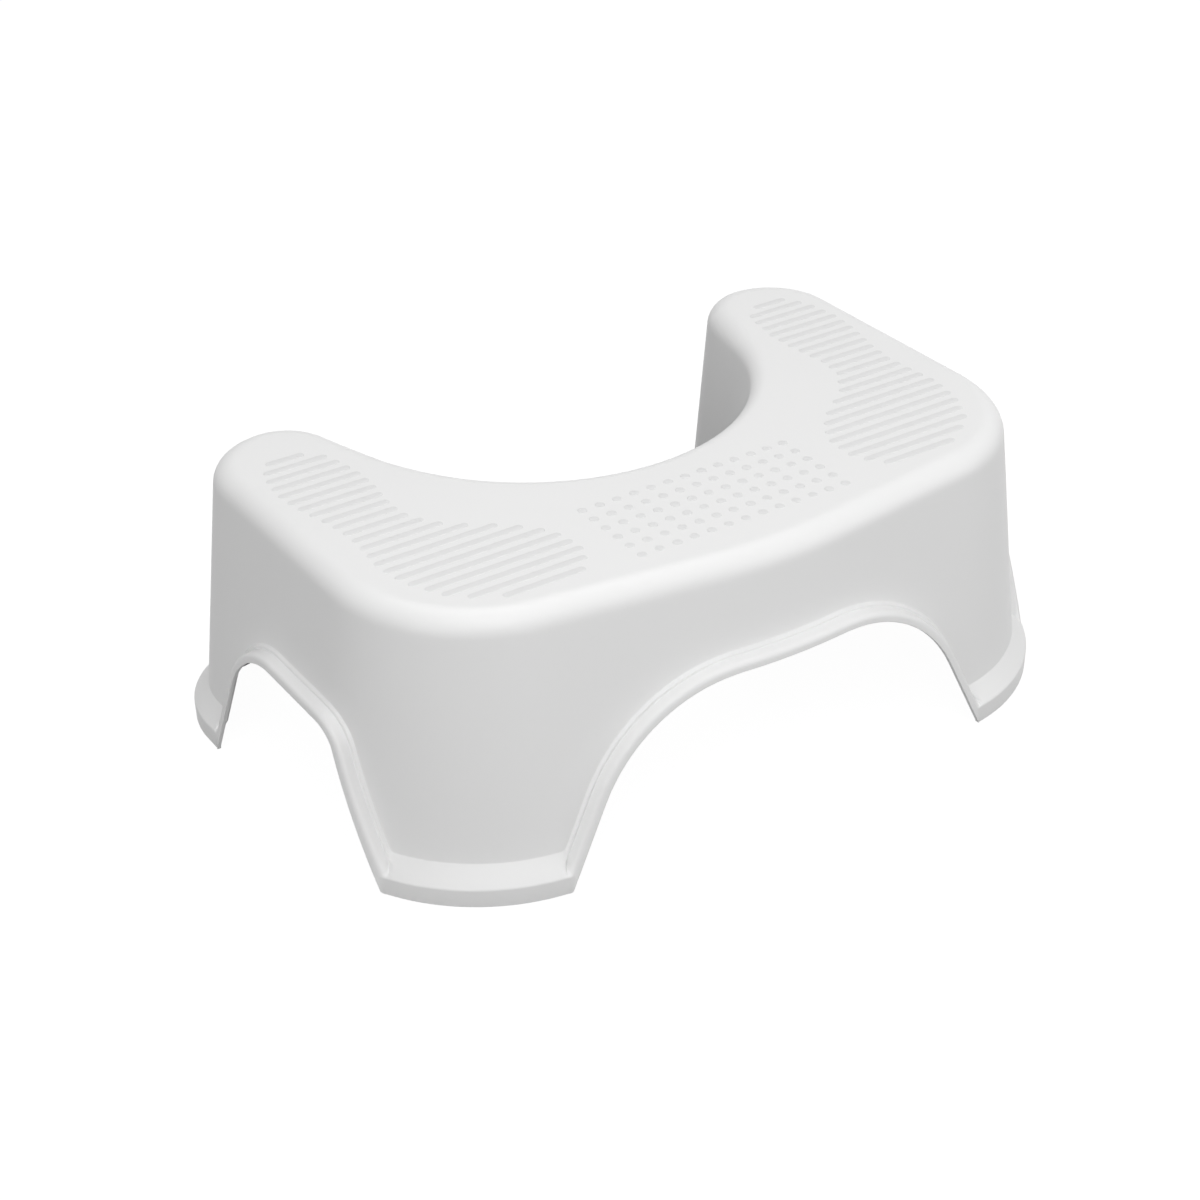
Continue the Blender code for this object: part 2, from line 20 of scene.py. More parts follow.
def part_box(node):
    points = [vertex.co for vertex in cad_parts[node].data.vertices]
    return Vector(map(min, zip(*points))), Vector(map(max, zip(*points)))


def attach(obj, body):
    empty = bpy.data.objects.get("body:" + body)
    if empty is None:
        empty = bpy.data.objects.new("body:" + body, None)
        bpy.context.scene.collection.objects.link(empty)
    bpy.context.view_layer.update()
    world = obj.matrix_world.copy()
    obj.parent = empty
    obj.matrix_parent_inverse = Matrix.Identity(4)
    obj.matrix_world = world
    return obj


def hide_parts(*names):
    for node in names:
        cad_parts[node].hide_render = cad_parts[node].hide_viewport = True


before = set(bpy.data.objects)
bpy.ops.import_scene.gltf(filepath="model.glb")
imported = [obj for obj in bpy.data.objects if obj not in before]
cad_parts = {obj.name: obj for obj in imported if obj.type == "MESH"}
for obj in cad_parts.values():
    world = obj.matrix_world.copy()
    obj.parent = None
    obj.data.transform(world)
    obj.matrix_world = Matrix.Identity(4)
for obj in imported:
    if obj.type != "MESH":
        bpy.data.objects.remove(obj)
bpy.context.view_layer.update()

# The stool as a whole
DECK_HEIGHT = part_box("stool_shell")[1].z
WALL = 0.0028

# Lean of the wall, as its run for each unit of drop, and how much less it is round the recess
FRONT_LEAN_SHARE = 0.115
BACK_LEAN_SHARE = 0.095
INNER_LEAN_LOSS = 0.026
LEAN_EASE_LENGTH = 0.04

# The deck's rounded edge
DECK_EDGE_RADIUS = 0.015
RECESS_EDGE_RADIUS = 0.010
EDGE_EASE_LENGTH = 0.09

# Right half of the deck's outline: corners where its straight sides would meet, and their rounding
FRONT_CENTRE_Y = -0.1572
FRONT_BOW_RADIUS = 0.356
FRONT_CORNER_X = 0.2378
FRONT_CORNER_Y = -0.1240
FRONT_CORNER_RADIUS = 0.0944
HORN_OUTER_X = 0.2324
HORN_OUTER_Y = 0.1458
HORN_OUTER_RADIUS = 0.0475
HORN_INNER_X = 0.1581
HORN_INNER_Y = 0.1505
HORN_INNER_RADIUS = 0.0372
RECESS_CORNER_X = 0.1100
RECESS_Y = -0.0264
RECESS_RADIUS = 0.1434

# Arches: half width at the floor, height of the lip's lower edge, rise over run of the legs, shoulder radius
FRONT_ARCH = (0.1538, 0.1136, 2.122, 0.1044)
SIDE_ARCH_FRONT = (0.0890, 0.0922, 2.47, 0.017)
SIDE_ARCH_REAR = (0.0859, 0.0922, 3.135, 0.0504)
RECESS_ARCH = (0.1734, 0.088, 2.1, 0.060)
SIDE_ARCH_Y = -0.0015

# Rim: its reach from the wall, and where it ends along the arches and at the feet
RIM_REACH = 0.009
RIM_WIDTH = 0.0097
FOOT_RIM_HEIGHT = 0.0244
FOOT_LIP_HEIGHT = 0.0127
LIP_BOTTOM = 0.0005
LIP_TAPER = 0.0016
FOOT_CORNER_RADIUS = 0.003

# Along an arch the rim is a small bead, a groove and a crowned band: distance from the lip's edge, and reach
BEAD_WIDTH = 0.0083
BEAD_REACH = 0.0019
GROOVE_WIDTH = 0.0067
GROOVE_REACH = 0.0014
CROWN_WIDTH = 0.0060

# The rim's inner side: thickness behind the groove, and how far past the rim's width it meets the wall's
GROOVE_WALL = 0.0007
INNER_RUN = 0.0042

# How far from a section's corners their easing starts
WALL_CUT = 0.0005
BEAD_CUT = 0.0006
GROOVE_CUT = 0.0009
CROWN_CUT = 0.0034
LEDGE_TOP_CUT = 0.0004
LEDGE_CUT = 0.0010
LIP_CUT = 0.0005
INNER_CUT = 0.0006
INNER_CUTS = (INNER_CUT,) * 4

# Ribs under the deck
RIB_DEPTH = 0.016
RIB_TOP_THICKNESS = 0.0022
RIB_TIP_THICKNESS = 0.0018

# Treads: strips, dots and the plates that carry them
TREAD_WIDTH = 0.1181
STRIP_PITCH = 0.01015
STRIP_WIDTH = 0.0053
DOT_PITCH = 0.0125
DOT_DIAMETER = 0.006
TREAD_RISE = 0.00025
TREAD_GAP = 0.00004
TREAD_EDGE_RISE = 0.00008
CARRIER_THICKNESS = 0.0014
CARRIER_INSET = 0.0008
CLEARANCE = 0.0003

# A footprint from toe to heel: share of its length, then its inner and outer edge as shares of its width
FOOTPRINT_SHARES = (
    (0.00, 0.10, 0.57),
    (0.05, 0.03, 0.72),
    (0.09, 0.00, 0.80),
    (0.18, 0.01, 0.885),
    (0.25, 0.07, 0.92),
    (0.32, 0.195, 0.935),
    (0.41, 0.42, 0.915),
    (0.50, 0.535, 0.905),
    (0.59, 0.56, 0.925),
    (0.73, 0.525, 0.985),
    (0.82, 0.525, 1.00),
    (0.91, 0.555, 0.975),
    (0.955, 0.58, 0.945),
    (1.00, 0.67, 0.89),
)

# Foot pads
PAD_LENGTH = 0.045
PAD_WIDTH = 0.007
PAD_CUT = 0.0008
PAD_END_RADIUS = 0.003
PAD_END_SHARE = 0.6

# How finely the surfaces are divided
ARCH_TOP_STEPS = 8
SHOULDER_STEPS = 18
LEG_STEPS = 8
CORNER_STEPS = 6
FRONT_FOOT_STEPS = 50
HORN_FOOT_STEPS = 110
EASING_STEPS = 6
EDGE_STEPS = 9
WALL_STEPS = 3
STRIP_SIDES = 24
DOT_SIDES = 16
DOME_STEPS = 6
PAD_STEPS = 24
OUTLINE_SAMPLES = 4000
TURN_WEIGHT_SHARE = 0.25
FLAT_MARGIN = 0.0015
SHARP_ANGLE = math.radians(40)

# Colours and finish of the plastics
SHELL_PALE = (0.865, 0.865, 0.862)
SHELL_DEEP = (0.845, 0.845, 0.844)
SHELL_ROUGHNESS = 0.42
TREAD_PALE = (0.785, 0.785, 0.785)
TREAD_DEEP = (0.765, 0.765, 0.766)
TREAD_ROUGHNESS = 0.60
PAD_PALE = (0.31, 0.31, 0.32)
PAD_DEEP = (0.28, 0.28, 0.29)
PAD_ROUGHNESS = 0.80
ROUGHNESS_SPREAD = 0.08
PLASTIC_SPECULAR = 0.35
CLOUD_SIZE = 0.12
CLOUD_DETAIL = 2.0
GRAIN_SIZE = 0.0012
GRAIN_DETAIL = 1.0
GRAIN_DEPTH = 0.00002
NOISE_MIDDLE = 0.5

# A Mix node's sockets for colours, by number because their names repeat
MIX_SHARE = 0
MIX_FIRST = 6
MIX_SECOND = 7
MIX_RESULT = 2

# Camera, as the photograph was taken
CAMERA_TARGET = (-0.0422, -0.02726, 0.092)
CAMERA_DISTANCE = 1.6404
CAMERA_AZIMUTH = math.radians(33.933)
CAMERA_ELEVATION = math.radians(31.546)
CAMERA_ROLL = math.radians(-0.284)
CAMERA_LENS = 78.70
CAMERA_SENSOR = 36.0

# Studio: soft boxes by name, azimuth from -Y towards +X, elevation and power, all of one size and distance
LAMPS = (
    ("key_softbox", math.radians(-25), math.radians(50), 18.1),
    ("left_softbox", math.radians(-60), math.radians(20), 15.6),
    ("right_softbox", math.radians(45), math.radians(20), 17.6),
    ("back_softbox", math.radians(150), math.radians(75), 21.4),
)
LAMP_DISTANCE = 2.4
LAMP_SIZE = 1.6
WHITE = (1.0, 1.0, 1.0, 1.0)
AMBIENT = 0.20
FLOOR_SIZE = 8.0
FLOOR_GLOW = 0.968
FLOOR_SEEN = (0.10, 0.10, 0.10, 1.0)
FLOOR_BOUNCE = (0.21, 0.21, 0.21, 1.0)


class Outline:
    """The right half of the deck's outline, from the front centre round to the middle of the recess.

    Its stretches are a rounded corner and a straight side by turns. Its heading turns evenly on a corner and
    is constant on a side, so a place on it is the start of its stretch plus a chord of that stretch.
    """

    def __init__(self, corners, radii):
        """From the corners where its straight sides would meet, and a radius for each corner but the last.

        The last corner mirrors the one before it. The first bend and the last side cross the middle of the
        stool, so half of each belongs here.
        """
        corners = np.array(corners)
        sides = np.diff(corners, axis=0)
        lengths = np.hypot(sides[:, 0], sides[:, 1])
        lengths[-1] /= 2
        headings = np.unwrap(np.arctan2(sides[:, 1], sides[:, 0]))
        turns = np.diff(headings, prepend=-headings[0])
        tangents = np.array(radii) * np.tan(np.abs(turns) / 2)
        arcs = np.array(radii) * np.abs(turns)
        arcs[0] /= 2
        straights = lengths - tangents - np.append(tangents[1:], 0.0)
        spans = np.stack([arcs, straights], axis=1).ravel()
        self.bends = np.stack([np.sign(turns) / radii, np.zeros(len(turns))], axis=1).ravel()
        self.starts = np.append(0.0, np.cumsum(spans))
        self.length = self.starts[-1]
        self.headings = np.append(0.0, np.cumsum(spans * self.bends))
        chords = spans * np.sinc(spans * self.bends / (2 * math.pi))
        middles = self.headings[:-1] + spans * self.bends / 2
        front_y = corners[0, 1] + radii[0] * (1 / math.cos(headings[0]) - 1)
        self.x = np.append(0.0, np.cumsum(chords * np.cos(middles)))
        self.y = front_y + np.append(0.0, np.cumsum(chords * np.sin(middles)))

    def at(self, along):
        """Place and outward normal at distances along the outline."""
        stretch = np.clip(np.searchsorted(self.starts, along, side="right") - 1, 0, len(self.bends) - 1)
        run = along - self.starts[stretch]
        half_turn = self.bends[stretch] * run / 2
        chord = run * np.sinc(half_turn / math.pi)
        middle = self.headings[stretch] + half_turn
        heading = self.headings[stretch] + 2 * half_turn
        x = self.x[stretch] + chord * np.cos(middle)
        y = self.y[stretch] + chord * np.sin(middle)
        return np.stack([x, y]), np.stack([np.sin(heading), -np.cos(heading)])

    def at_y(self, y):
        """Distance along the outline where its outer side passes a given Y."""
        tip = int(np.argmax(self.y))
        return float(np.interp(y, self.y[: tip + 1], self.starts[: tip + 1]))

    def shares(self, start, end, steps):
        """Shares of a stretch of the outline, closer together where it turns."""
        fine = np.linspace(start, end, OUTLINE_SAMPLES)
        turned = np.abs(np.diff(np.interp(fine, self.starts, self.headings), prepend=np.nan))
        turned[0] = 0.0
        share = np.linspace(0.0, 1.0, OUTLINE_SAMPLES)
        weight = share + TURN_WEIGHT_SHARE * np.cumsum(turned)
        return np.interp(np.linspace(0.0, weight[-1], steps + 1), weight, share)


OUTLINE = Outline(
    (
        (0.0, FRONT_CENTRE_Y),
        (FRONT_CORNER_X, FRONT_CORNER_Y),
        (HORN_OUTER_X, HORN_OUTER_Y),
        (HORN_INNER_X, HORN_INNER_Y),
        (RECESS_CORNER_X, RECESS_Y),
        (-RECESS_CORNER_X, RECESS_Y),
    ),
    (FRONT_BOW_RADIUS, FRONT_CORNER_RADIUS, HORN_OUTER_RADIUS, HORN_INNER_RADIUS, RECESS_RADIUS),
)
SIDE_ARCH_MIDDLE = OUTLINE.at_y(SIDE_ARCH_Y)

# Where along the outline its front ends, and where a horn's inner corner and inner side start
FRONT_END = OUTLINE.starts[2]
HORN_CORNER_START = OUTLINE.starts[6]
HORN_SIDE_START = OUTLINE.starts[7]


def eased_share(along, start, length):
    """Share that grows from none to all over a stretch of the outline, by a cubic with level ends."""
    share = np.clip((along - start) / length, 0.0, 1.0)
    return share**2 * (3 - 2 * share)


def lean_at(along, normal):
    """Run of the wall for each unit of drop: most at the front, less at the back, least round the recess."""
    middle = (FRONT_LEAN_SHARE + BACK_LEAN_SHARE) / 2
    lean = middle + (BACK_LEAN_SHARE - FRONT_LEAN_SHARE) / 2 * normal[1]
    return lean - INNER_LEAN_LOSS * eased_share(along, HORN_CORNER_START, LEAN_EASE_LENGTH)


def on_wall(along, height, proud):
    """Points at a height on the wall, standing proud of it: the outline plus its normal times an offset."""
    place, normal = OUTLINE.at(along)
    x, y = place + normal * ((DECK_HEIGHT - height) * lean_at(along, normal) + proud)
    return np.stack([x, y, np.broadcast_to(height, x.shape)], axis=-1)


def column(values):
    """Values as a column, so that they pair with every place along a row."""
    return np.asarray(values, dtype=float).reshape(-1, 1)


class Arch:
    """An arch in the unrolled wall: a flat top, rounded shoulders and legs that turn into the feet."""

    def __init__(self, half_width, height, slope, shoulder_radius):
        """From its half width at the floor, its height, the rise over run of its leg, and its shoulder's
        radius, which is at most what half of the top has room for."""
        self.half_width = half_width
        self.height = height
        self.slope = slope
        self.angle = math.atan(slope)
        room = (half_width - height / slope) / math.tan(self.angle / 2)
        self.radius = min(shoulder_radius, room)

    def mitre(self, foot_height, width):
        """Distance from the arch's middle to where its line, offset by a width, meets a foot's line."""
        return self.half_width - foot_height / self.slope + width / math.sin(self.angle)

    def half(self, foot_height, width):
        """Lines from the middle of the top to the foot, one for each foot's height and arch's width.

        A shoulder is an arc about one centre for every width, and a leg turns into the foot's level line on
        an arc of the corner's radius. Gives distances from the middle, heights, and the foot's share.
        """
        top = self.height + width
        radius = self.radius + width
        centre_x = self.mitre(top, width) - radius * math.tan(self.angle / 2)
        over = np.linspace(0.0, 1.0, ARCH_TOP_STEPS + 1)[:-1] * centre_x
        turn = math.pi / 2 - np.linspace(0.0, self.angle, SHOULDER_STEPS + 1)
        shoulder_x = centre_x + radius * np.cos(turn)
        shoulder_z = top - radius + radius * np.sin(turn)
        corner_x = self.mitre(foot_height, width) + FOOT_CORNER_RADIUS * math.tan(self.angle / 2)
        back = -math.pi / 2 - self.angle + np.linspace(0.0, self.angle, CORNER_STEPS + 1)
        turned_x = corner_x + FOOT_CORNER_RADIUS * np.cos(back)
        turned_z = foot_height + FOOT_CORNER_RADIUS * (1 + np.sin(back))
        down = np.linspace(0.0, 1.0, LEG_STEPS + 1)[1:-1]
        leg_x = shoulder_x[:, -1:] + down * (turned_x[:, :1] - shoulder_x[:, -1:])
        leg_z = shoulder_z[:, -1:] + down * (turned_z[:, :1] - shoulder_z[:, -1:])
        across = np.concatenate([over, shoulder_x, leg_x, turned_x], axis=1)
        height = np.concatenate([np.broadcast_to(top, over.shape), shoulder_z, leg_z, turned_z], axis=1)
        share = np.zeros(across.shape[1])
        share[-CORNER_STEPS - 1:] = np.linspace(0.0, 1.0, CORNER_STEPS + 1)
        return across, height, share


def eased(corners, cuts):
    """Points on a line through corners. Each corner gives way to a quadratic curve with the corner as its
    middle control point, which starts and ends a cut away from it."""
    corners = np.array(corners)
    sides = np.diff(corners, axis=0)
    along = sides / np.linalg.norm(sides, axis=1, keepdims=True)
    middle = corners[1:-1]
    start = middle - along[:-1] * column(cuts)
    end = middle + along[1:] * column(cuts)
    share = np.linspace(0.0, 1.0, EASING_STEPS + 1).reshape(1, -1, 1)
    rest = 1 - share
    curve = rest**2 * start[:, None] + 2 * share * rest * middle[:, None] + share**2 * end[:, None]
    return np.concatenate([corners[:1], curve.reshape(-1, 2), corners[-1:]])


def inset_corner(before, corner, after, depth):
    """A corner of a section moved to the inner side of a wall: along the mitre of its two sides."""
    first = np.subtract(corner, before)
    second = np.subtract(after, corner)
    first = np.array([-first[1], first[0]]) / np.linalg.norm(first)
    second = np.array([-second[1], second[0]]) / np.linalg.norm(second)
    return corner + depth * (first + second) / (1 + first @ second)


def arch_section():
    """The rim along an arch, as distances from the lip's edge and reaches: over the bead, the groove and the
    crowned band, round the lip and up its inner side."""
    wall_start = (RIM_WIDTH + FLAT_MARGIN, 0.0)
    wall = (RIM_WIDTH, 0.0)
    bead = (BEAD_WIDTH, BEAD_REACH)
    groove = (GROOVE_WIDTH, GROOVE_REACH)
    crown = (CROWN_WIDTH, RIM_REACH)
    lip = (0.0, RIM_REACH)
    inner_wall = RIM_WIDTH + INNER_RUN
    inner_crown = inset_corner(groove, crown, lip, WALL)
    inner_groove = (GROOVE_WIDTH, GROOVE_REACH - GROOVE_WALL)
    corners = (
        wall_start, wall, bead, groove, crown, lip, (0.0, RIM_REACH - WALL),
        inner_crown, inner_groove, (inner_wall, -WALL), (inner_wall + FLAT_MARGIN, -WALL),
    )
    return eased(corners, (WALL_CUT, BEAD_CUT, GROOVE_CUT, CROWN_CUT, LIP_CUT) + INNER_CUTS)


def foot_section():
    """The rim at a foot, as heights and reaches: down the flat slanted ledge, round the lip and up inside.

    The ledge has a corner for the bead and one for the groove, in line with it, and its inner side one for
    the groove's, so that its points pair with those of an arch."""
    wall_start = (FOOT_RIM_HEIGHT + FLAT_MARGIN, 0.0)
    wall = np.array([FOOT_RIM_HEIGHT, 0.0])
    ledge = np.array([FOOT_LIP_HEIGHT, RIM_REACH])
    lip = (LIP_BOTTOM, RIM_REACH - LIP_TAPER)
    inner_wall = inset_corner(wall_start, wall, ledge, WALL)
    inner_ledge = inset_corner(wall, ledge, lip, WALL)
    bead_share = (RIM_WIDTH - BEAD_WIDTH) / (RIM_WIDTH - CROWN_WIDTH)
    groove_share = (RIM_WIDTH - GROOVE_WIDTH) / (RIM_WIDTH - CROWN_WIDTH)
    bead = wall + bead_share * (ledge - wall)
    groove = wall + groove_share * (ledge - wall)
    inner_groove = (inner_ledge + inner_wall) / 2
    corners = (
        wall_start, wall, bead, groove, ledge, lip, (LIP_BOTTOM, RIM_REACH - LIP_TAPER - WALL),
        inner_ledge, inner_groove, inner_wall, (inner_wall[0] + FLAT_MARGIN, -WALL),
    )
    return eased(corners, (LEDGE_TOP_CUT, BEAD_CUT, GROOVE_CUT, LEDGE_CUT, LIP_CUT) + INNER_CUTS)


def rim_rows():
    """The rim round the right half of the stool: rows along it, one for each point of the section."""
    widths, arch_reach = arch_section().T
    heights, foot_reach = foot_section().T
    widths, heights = column(widths), column(heights)
    front_x, front_z, front_share = Arch(*FRONT_ARCH).half(heights, widths)
    side_x, side_z, side_share = Arch(*SIDE_ARCH_FRONT).half(heights, widths)
    rear_x, rear_z, rear_share = Arch(*SIDE_ARCH_REAR).half(heights, widths)
    recess_x, recess_z, recess_share = Arch(*RECESS_ARCH).half(heights, widths)
    front_start, front_end = front_x[:, -1:], SIDE_ARCH_MIDDLE - side_x[:, -1:]
    horn_start, horn_end = SIDE_ARCH_MIDDLE + rear_x[:, -1:], OUTLINE.length - recess_x[:, -1:]
    front_steps = OUTLINE.shares(front_start[0, 0], front_end[0, 0], FRONT_FOOT_STEPS)[1:-1]
    horn_steps = OUTLINE.shares(horn_start[0, 0], horn_end[0, 0], HORN_FOOT_STEPS)[1:-1]
    front_foot = front_start + front_steps * (front_end - front_start)
    horn_foot = horn_start + horn_steps * (horn_end - horn_start)
    along = np.concatenate(
        [
            front_x, front_foot, SIDE_ARCH_MIDDLE - side_x[:, ::-1],
            SIDE_ARCH_MIDDLE + rear_x[:, 1:], horn_foot, OUTLINE.length - recess_x[:, ::-1],
        ],
        axis=1,
    )
    height = np.concatenate(
        [
            front_z, np.broadcast_to(heights, front_foot.shape), side_z[:, ::-1],
            rear_z[:, 1:], np.broadcast_to(heights, horn_foot.shape), recess_z[:, ::-1],
        ],
        axis=1,
    )
    share = np.concatenate(
        [
            front_share, np.ones(len(front_steps)), side_share[::-1],
            rear_share[1:], np.ones(len(horn_steps)), recess_share[::-1],
        ]
    )
    proud = column(arch_reach) * (1 - share) + column(foot_reach) * share
    return along, on_wall(along, height, proud)


def edge_radius(along):
    """Radius of the deck's edge: the same all round the outside and a horn's tip, then less along the horn's
    inner side, down to that of the recess."""
    share = eased_share(along, HORN_SIDE_START, EDGE_EASE_LENGTH)
    return DECK_EDGE_RADIUS + (RECESS_EDGE_RADIUS - DECK_EDGE_RADIUS) * share


def edge_inset(radius, tilt):
    """How far inside the outline the centre of the deck's rounded edge lies: its radius, times one minus the
    sine of the wall's tilt, over the cosine."""
    return radius * (1 - np.sin(tilt)) / np.cos(tilt)


def edge_rows(along, depth):
    """The deck's rounded edge round the right half, at a depth inside the surface: an arc from the wall's
    slope to level, with a row before it on the wall and one after it on the deck that keep these flat."""
    place, normal = OUTLINE.at(along)
    radius = edge_radius(along)
    lean = lean_at(along, normal)
    tilt = np.arctan(lean)
    angle = tilt + column(np.linspace(0.0, 1.0, EDGE_STEPS + 1)) * (math.pi / 2 - tilt)
    out = (radius - depth) * np.cos(angle) - edge_inset(radius, tilt)
    height = DECK_HEIGHT - radius + (radius - depth) * np.sin(angle)
    out = np.concatenate([out[:1] + FLAT_MARGIN * lean, out, out[-1:] - FLAT_MARGIN])
    height = np.concatenate([height[:1] - FLAT_MARGIN, height, height[-1:]])
    x, y = place[:, None] + normal[:, None] * out
    return np.stack([x, y, height], axis=-1)


def between(first, last, steps):
    """Rows evenly between two rows, without these."""
    share = np.linspace(0.0, 1.0, steps + 2)[1:-1].reshape(-1, 1, 1)
    return first + share * (last - first)


def whole_loop(half):
    """Rows round the whole stool from rows round its right half: these, then their mirror image back."""
    rows = half.copy()
    rows[:, (0, -1), 0] = 0.0
    return np.concatenate([rows, rows[:, -2:0:-1] * (-1, 1, 1)], axis=1)


def grid_faces(index):
    """Quads between the neighbouring rows and columns of grids of vertex numbers, whose rows are rings."""
    turned = np.roll(index, -1, axis=-1)
    corners = (index[..., :-1, :], turned[..., :-1, :], turned[..., 1:, :], index[..., 1:, :])
    return np.stack(corners, axis=-1).reshape(-1, 4).tolist()


def capsules(listed, growth, radius, sides):
    """Closed loops round strips or dots: a circle whose two halves are drawn apart along X."""
    y, low, high = np.array(listed).T[..., None]
    angle = (np.arange(sides) + 0.5) * 2 * math.pi / sides
    reach = radius + growth
    middle = np.where(np.cos(angle) > 0, high - radius, low + radius)
    return np.stack([middle + reach * np.cos(angle), y + reach * np.sin(angle)], axis=-1)


def even_places(start, end, pitch):
    """Places from start to end, spaced as close to a pitch as fills the stretch evenly."""
    return np.linspace(start, end, max(2, round((end - start) / pitch) + 1))


def strips(node, side):
    """The strips of one footprint, toe to heel, from its node's box: each is its Y and its ends in X."""
    low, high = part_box(node)
    toe = low.y - STAND_Y + STRIP_WIDTH / 2
    heel = high.y - STAND_Y - STRIP_WIDTH / 2
    outer = max(-low.x, high.x)
    stations, inner_shares, outer_shares = np.array(FOOTPRINT_SHARES).T
    y = even_places(toe, heel, STRIP_PITCH)
    share = (y - toe) / (heel - toe)
    near = side * (outer - TREAD_WIDTH * (1 - np.interp(share, stations, inner_shares)))
    far = side * (outer - TREAD_WIDTH * (1 - np.interp(share, stations, outer_shares)))
    return np.stack([y, np.minimum(near, far), np.maximum(near, far)], axis=1)


def dots(node):
    """The dots between the footprints, from the box of their node: each is its Y and its ends in X."""
    low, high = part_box(node)
    radius = DOT_DIAMETER / 2
    x, y = np.meshgrid(
        even_places(low.x + radius, high.x - radius, DOT_PITCH),
        even_places(low.y - STAND_Y + radius, high.y - STAND_Y - radius, DOT_PITCH),
    )
    return np.stack([y.ravel(), x.ravel() - radius, x.ravel() + radius], axis=1)


FRONT_RIM_Y = OUTLINE.y[0] - (DECK_HEIGHT - FRONT_ARCH[1]) * FRONT_LEAN_SHARE - RIM_REACH
STAND_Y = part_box("stool_shell")[0].y - FRONT_RIM_Y
LEFT_STRIPS = strips("left_foot_tread", -1)
RIGHT_STRIPS = strips("right_foot_tread", 1)
DOTS = dots("centre_dot_tread")
CARRIER_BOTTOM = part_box("centre_dot_tread")[0].z
CARRIER_TOP = CARRIER_BOTTOM + CARRIER_THICKNESS


def add_piece(name, vertices, faces, material, nodes):
    """A piece of the stool from its points and faces, in the place of the nodes that it stands for."""
    mesh = bpy.data.meshes.new(name)
    mesh.from_pydata((np.asarray(vertices).reshape(-1, 3) + (0.0, STAND_Y, 0.0)).tolist(), [], faces)
    shape = bmesh.new()
    shape.from_mesh(mesh)
    bmesh.ops.recalc_face_normals(shape, faces=shape.faces)
    shape.to_mesh(mesh)
    shape.free()
    mesh.shade_smooth()
    mesh.set_sharp_from_angle(angle=SHARP_ANGLE)
    mesh.materials.append(material)
    piece = bpy.data.objects.new(name, mesh)
    bpy.context.scene.collection.objects.link(piece)
    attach(piece, "root")
    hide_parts(*nodes)
    return piece


def add_shell(material):
    """The moulded shell: its section carried round the outline, and the deck filled in between its slots."""
    along, rim = rim_rows()
    outer_edge = edge_rows(along[0], 0.0)
    inner_edge = edge_rows(along[-1], WALL)
    half = np.concatenate(
        [
            outer_edge[::-1],
            between(outer_edge[0], rim[0], WALL_STEPS),
            rim,
            between(rim[-1], inner_edge[0], WALL_STEPS),
            inner_edge,
        ]
    )
    half[-1, :, :2] = half[0, :, :2]
    rows = whole_loop(half)
    index = np.arange(rows.shape[0] * rows.shape[1]).reshape(rows.shape[:2])
    all_strips = np.concatenate([LEFT_STRIPS, RIGHT_STRIPS])
    strip_loops = capsules(all_strips, TREAD_GAP, STRIP_WIDTH / 2, STRIP_SIDES)
    dot_loops = capsules(DOTS, TREAD_GAP, DOT_DIAMETER / 2, DOT_SIDES)
    flat = np.concatenate([strip_loops.reshape(-1, 2), dot_loops.reshape(-1, 2)])
    deck_loops = [rows[0, :, :2].tolist(), *strip_loops.tolist(), *dot_loops.tolist()]
    triangles = np.array(tessellate_polygon(deck_loops))
    top = index.size + np.arange(len(flat))
    bottom = top + len(flat)
    heights = np.repeat((DECK_HEIGHT, DECK_HEIGHT - WALL), len(flat))
    vertices = np.concatenate([rows.reshape(-1, 3), np.column_stack([np.tile(flat, (2, 1)), heights])])
    faces = grid_faces(index)
    faces += np.append(index[0], top)[triangles].tolist()
    faces += np.append(index[-1], bottom)[triangles[:, ::-1]].tolist()
    split = strip_loops.shape[0] * STRIP_SIDES
    for part, sides in ((slice(0, split), STRIP_SIDES), (slice(split, None), DOT_SIDES)):
        rings = [top[part].reshape(-1, sides), bottom[part].reshape(-1, sides)]
        faces += grid_faces(np.stack(rings, axis=1))
    return add_piece("shell", vertices, faces, material, ["stool_shell"])


def wall_middle(height, lean, radius):
    """Offset from the outline of the middle of the wall's thickness: up the wall, then round the edge."""
    tilt = np.arctan(lean)
    middle = radius - WALL / 2
    rise = height - DECK_HEIGHT + radius
    on_edge = np.sqrt(np.maximum(middle**2 - rise**2, 0.0)) - edge_inset(radius, tilt)
    on_side = (DECK_HEIGHT - height) * lean - WALL / 2
    return np.where(rise > middle * np.sin(tilt), on_edge, on_side)


def wall_y(x, heights, start, end):
    """Y of the middle of the wall's thickness at a given X, for each height, on one part of the outline."""
    along = np.linspace(start, end, OUTLINE_SAMPLES)
    place, normal = OUTLINE.at(along)
    reach = wall_middle(column(heights), lean_at(along, normal), edge_radius(along))
    across, back = place[:, None] + normal[:, None] * reach
    rising = slice(None) if across[0, 0] < across[0, -1] else slice(None, None, -1)
    return np.array([np.interp(x, row_x[rising], row_y[rising]) for row_x, row_y in zip(across, back)])


def rib_section():
    """Half thicknesses and heights round a rib: straight sides that taper to a rounded lower edge."""
    top = DECK_HEIGHT - WALL + CLEARANCE
    low = DECK_HEIGHT - WALL - RIB_DEPTH
    thick = RIB_TOP_THICKNESS / 2
    thin = RIB_TIP_THICKNESS / 2
    corners = ((-thick, top), (-thin, low), (thin, low), (thick, top))
    return eased(corners, (INNER_CUT, INNER_CUT))


